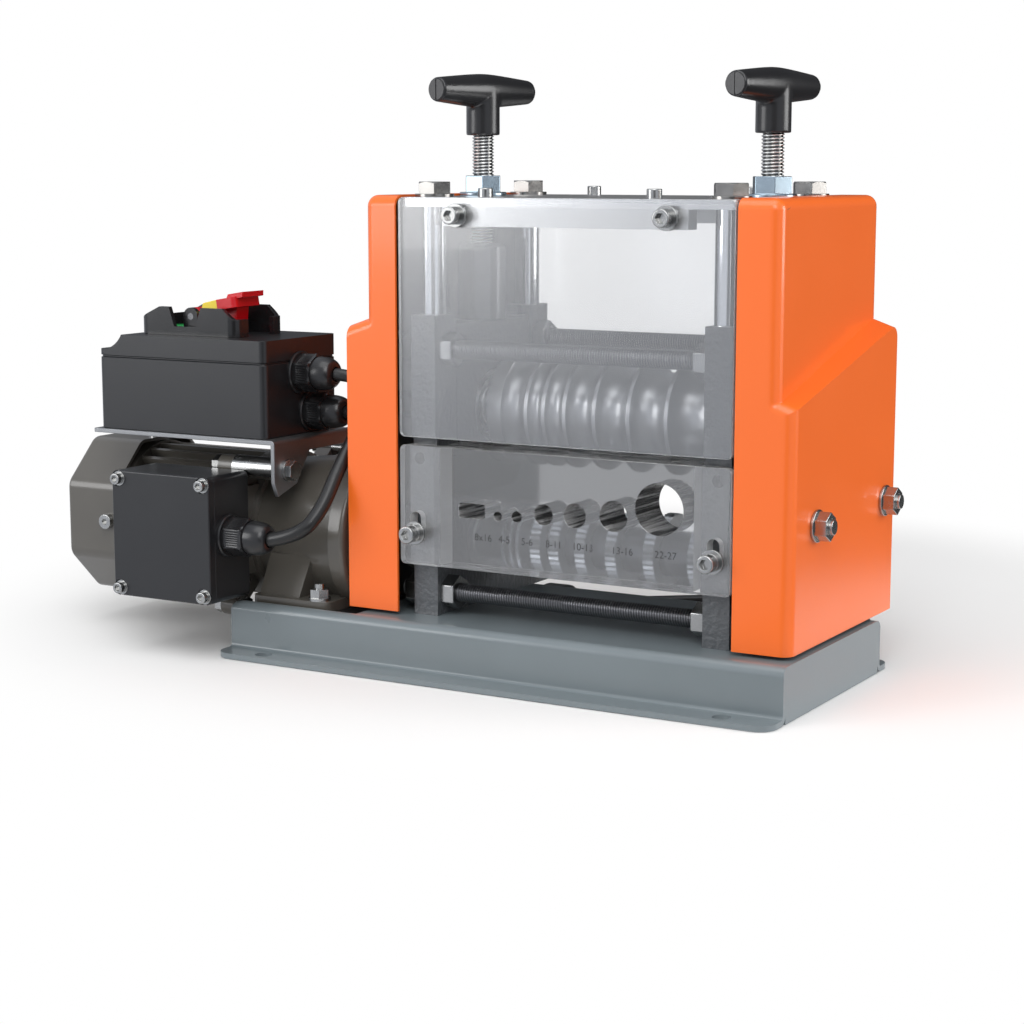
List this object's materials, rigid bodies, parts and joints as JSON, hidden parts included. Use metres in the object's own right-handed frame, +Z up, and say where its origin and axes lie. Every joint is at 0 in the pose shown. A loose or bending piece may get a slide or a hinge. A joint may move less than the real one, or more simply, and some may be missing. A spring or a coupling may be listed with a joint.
{
  "type": "electric wire stripping machine",
  "caption": "Bench machine that draws electric cable through sized channels and slits its jacket between a motor-driven cutting roller and a grooved roller that hand screws press down.",
  "frame": {"origin": "middle of the four base mounting holes, on the underside of the base flanges", "axes": "+X along the roller shafts, from the motor to the free end; +Y from the feed side to the back; +Z up"},
  "size_m": [0.4758, 0.2994, 0.3226],
  "materials": {
    "base_paint": "semi-gloss",
    "black_paint": "satin",
    "orange_paint": "soft gloss",
    "frame_paint": "satin",
    "motor_paint": "satin, cast",
    "bracket_zinc": "bright zinc",
    "zinc": "zinc plated",
    "bright_steel": "turned",
    "black_steel": "blackened",
    "chrome": "polished",
    "aluminium": "brushed",
    "clear_plastic": "clear, polished",
    "black_plastic": "fine satin",
    "gloss_black": "glossy",
    "red_plastic": "glossy",
    "yellow_plastic": "glossy",
    "green_plastic": "glossy",
    "cord_rubber": "soft gloss"
  },
  "bodies": {
    "machine": {"base_channel": "base_paint", "bracket_spacers": "zinc", "cable_glands": "gloss_black", "case_screws": "zinc", "column_bolts": "zinc", "cover_studs": "zinc", "fan_cowl": "motor_paint", "flap_pin": "zinc", "frame_bolts": "zinc", "gear_head": "motor_paint", "guard_screws": "zinc", "guide_screws": "zinc", "hanger_bars": "aluminium", "junction_box": "black_plastic", "junction_lid": "black_plastic", "left_cover": "orange_paint", "left_side_frame": "frame_paint", "lower_bearings": "bright_steel", "mains_coil": "cord_rubber", "mains_lead": "cord_rubber", "mains_plug": "gloss_black", "motor_body": "motor_paint", "motor_cable": "cord_rubber", "motor_shelf": "black_paint", "motor_stator": "bright_steel", "rear_guard": "clear_plastic", "right_cover": "orange_paint", "right_side_frame": "frame_paint", "screw_nuts": "zinc", "spacer_columns": "chrome", "switch_box": "black_plastic", "switch_bracket": "bracket_zinc", "switch_guard": "gloss_black", "switch_lid": "black_plastic", "tie_rod_nuts": "zinc", "tie_rods": "black_steel", "top_plate": "aluminium", "upper_guard": "clear_plastic"},
    "guide": {"guide_block": "clear_plastic"},
    "carriage": {"left_bearing_block": "frame_paint", "right_bearing_block": "frame_paint", "upper_bearings": "bright_steel", "screw_cups": "bright_steel"},
    "upper_roller": {"upper_shaft": "bright_steel", "grooved_roller": "chrome"},
    "lower_roller": {"lower_shaft": "bright_steel", "drive_rings": "bright_steel", "cutter_discs": "bright_steel", "drive_coupling": "black_steel", "output_shaft": "bright_steel"},
    "left_screw": {"left_pressure_screw": "zinc", "left_t_handle": "black_plastic"},
    "right_screw": {"right_pressure_screw": "zinc", "right_t_handle": "black_plastic"},
    "rotor": {"motor_rotor": "bright_steel", "cooling_fan": "black_plastic"},
    "flap": {"emergency_flap": "red_plastic", "flap_band": "yellow_plastic"},
    "start_button": {"start_button": "green_plastic"},
    "stop_button": {"stop_button": "red_plastic"}
  },
  "joints": [
    {"name": "guide_height", "type": "slide", "parent": "machine", "child": "guide", "axis": [0, 0, 1], "range_m": [-0.0075, 0.0015]},
    {"name": "carriage_lift", "type": "slide", "parent": "machine", "child": "carriage", "axis": [0, 0, 1], "range_m": [-0.021, 0.018]},
    {"name": "upper_roller_spin", "type": "hinge", "parent": "carriage", "child": "upper_roller", "pos_m": [0.0345, 0.0175, 0.139], "axis": [1, 0, 0], "continuous": true},
    {"name": "left_screw_turn", "type": "hinge", "parent": "carriage", "child": "left_screw", "pos_m": [-0.052, 0.0175, 0.25], "axis": [0, 0, 1], "range_deg": [-4322, 3705]},
    {"name": "right_screw_turn", "type": "hinge", "parent": "carriage", "child": "right_screw", "pos_m": [0.121, 0.0175, 0.25], "axis": [0, 0, 1], "range_deg": [-4322, 3705]},
    {"name": "rotor_spin", "type": "hinge", "parent": "machine", "child": "rotor", "pos_m": [-0.218, -0.0045, 0.064], "axis": [1, 0, 0], "continuous": true},
    {"name": "lower_roller_spin", "type": "hinge", "parent": "machine", "child": "lower_roller", "pos_m": [0.0345, 0.0175, 0.066], "axis": [1, 0, 0], "continuous": true},
    {"name": "flap_open", "type": "hinge", "parent": "machine", "child": "flap", "pos_m": [-0.209, -0.0295, 0.1865], "axis": [0, -1, 0], "range_deg": [0, 95]},
    {"name": "start_press", "type": "slide", "parent": "machine", "child": "start_button", "axis": [0, 0, -1], "range_m": [0, 0.0025], "stiffness_N_per_m": 300},
    {"name": "stop_press", "type": "slide", "parent": "machine", "child": "stop_button", "axis": [0, 0, -1], "range_m": [0, 0.0025], "stiffness_N_per_m": 300}
  ],
  "couplings": [
    {"joint": "left_screw_turn", "follows": "carriage_lift", "rad_per_m": 3590.4},
    {"joint": "right_screw_turn", "follows": "carriage_lift", "rad_per_m": 3590.4},
    {"joint": "lower_roller_spin", "follows": "rotor_spin", "ratio": 0.05}
  ]
}
